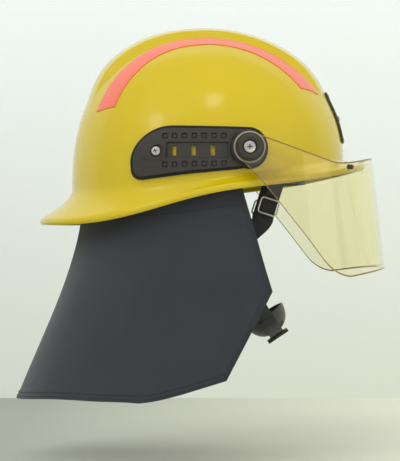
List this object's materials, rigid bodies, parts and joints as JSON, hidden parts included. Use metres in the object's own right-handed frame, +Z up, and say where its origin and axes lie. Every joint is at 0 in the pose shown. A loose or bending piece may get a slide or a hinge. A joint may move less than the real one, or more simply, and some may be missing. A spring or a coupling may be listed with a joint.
{
  "type": "firefighter helmet",
  "caption": "Firefighter helmet: ridged shell with flared brim, raisable clear visor, ratchet headband, fabric neck curtain and chin strap with cup.",
  "frame": {"origin": "centre of the headband's plane on the helmet's middle plane, where the wearer's head carries it", "axes": "+X to the wearer's front, +Y to the wearer's left, +Z up through the crown"},
  "size_m": [0.3513, 0.258, 0.3516],
  "materials": {
    "shell_yellow": "glossy moulded shell",
    "reflective_strip": "retro-reflective adhesive tape",
    "black_plastic": "satin moulded plastic",
    "gasket_rubber": "dull black rubber",
    "visor_clear": "pale yellow clear polycarbonate",
    "ring_plastic": "translucent beige plastic",
    "steel": "plated steel",
    "liner_foam": "grey-black energy-absorbing foam",
    "pad_fabric": "padded textile",
    "curtain_fabric": "charcoal navy flame-resistant cloth",
    "webbing": "ribbed black webbing"
  },
  "bodies": {
    "helmet": {"outer_shell": "shell_yellow", "right_reflective_strip": "reflective_strip", "left_reflective_strip": "reflective_strip", "badge_plate": "black_plastic", "badge_rivet": "black_plastic", "headband": "black_plastic", "nape_cradle": "black_plastic", "ratchet_housing": "black_plastic", "right_side_plate": "black_plastic", "left_side_plate": "black_plastic", "right_pivot_bush": "black_plastic", "left_pivot_bush": "black_plastic", "right_pivot_knob": "black_plastic", "left_pivot_knob": "black_plastic", "right_front_hanger": "black_plastic", "left_front_hanger": "black_plastic", "right_rear_hanger": "black_plastic", "left_rear_hanger": "black_plastic", "right_strap_anchor": "black_plastic", "left_strap_anchor": "black_plastic", "right_plate_gasket": "gasket_rubber", "left_plate_gasket": "gasket_rubber", "right_pivot_ring": "ring_plastic", "left_pivot_ring": "ring_plastic", "right_pivot_screw": "steel", "left_pivot_screw": "steel", "right_pivot_nut": "steel", "left_pivot_nut": "steel", "right_plate_screw": "steel", "left_plate_screw": "steel", "right_plate_nut": "steel", "left_plate_nut": "steel", "impact_liner": "liner_foam", "brow_pad": "pad_fabric", "neck_curtain": "curtain_fabric", "crown_strap_long": "webbing", "crown_strap_cross": "webbing", "curtain_tape": "webbing"},
    "visor": {"visor": "visor_clear", "right_visor_stop": "black_plastic", "left_visor_stop": "black_plastic"},
    "chin_strap": {"right_upper_strap": "webbing", "left_upper_strap": "webbing", "right_strap_loop": "steel", "left_strap_loop": "steel", "right_jaw_strap": "webbing", "left_jaw_strap": "webbing", "chin_cup": "black_plastic", "chin_cup_pad": "pad_fabric", "cup_strap": "webbing", "strap_slider": "black_plastic"},
    "ratchet_knob": {"ratchet_knob": "black_plastic", "ratchet_pinion": "black_plastic"},
    "left_rack": {"left_ratchet_rack": "black_plastic"},
    "right_rack": {"right_ratchet_rack": "black_plastic"}
  },
  "joints": [
    {"name": "visor_hinge", "type": "hinge", "parent": "helmet", "child": "visor", "pos_m": [0.0386, 0, 0.0155], "axis": [0, -1, 0], "range_deg": [0, 88]},
    {"name": "chin_strap_swing", "type": "hinge", "parent": "helmet", "child": "chin_strap", "pos_m": [0.07, 0, 0.004], "axis": [0, -1, 0], "range_deg": [-10, 30]},
    {"name": "ratchet_turn", "type": "hinge", "parent": "helmet", "child": "ratchet_knob", "pos_m": [-0.1127, 0, -0.025], "axis": [-1, 0, 0], "range_deg": [-80, 80]},
    {"name": "left_rack_slide", "type": "slide", "parent": "helmet", "child": "left_rack", "axis": [0, 1, 0], "range_m": [-0.008, 0.008]},
    {"name": "right_rack_slide", "type": "slide", "parent": "helmet", "child": "right_rack", "axis": [0, -1, 0], "range_m": [-0.008, 0.008]}
  ],
  "couplings": [
    {"joint": "left_rack_slide", "follows": "ratchet_turn", "m_per_rad": 0.0053},
    {"joint": "right_rack_slide", "follows": "ratchet_turn", "m_per_rad": 0.0053}
  ]
}
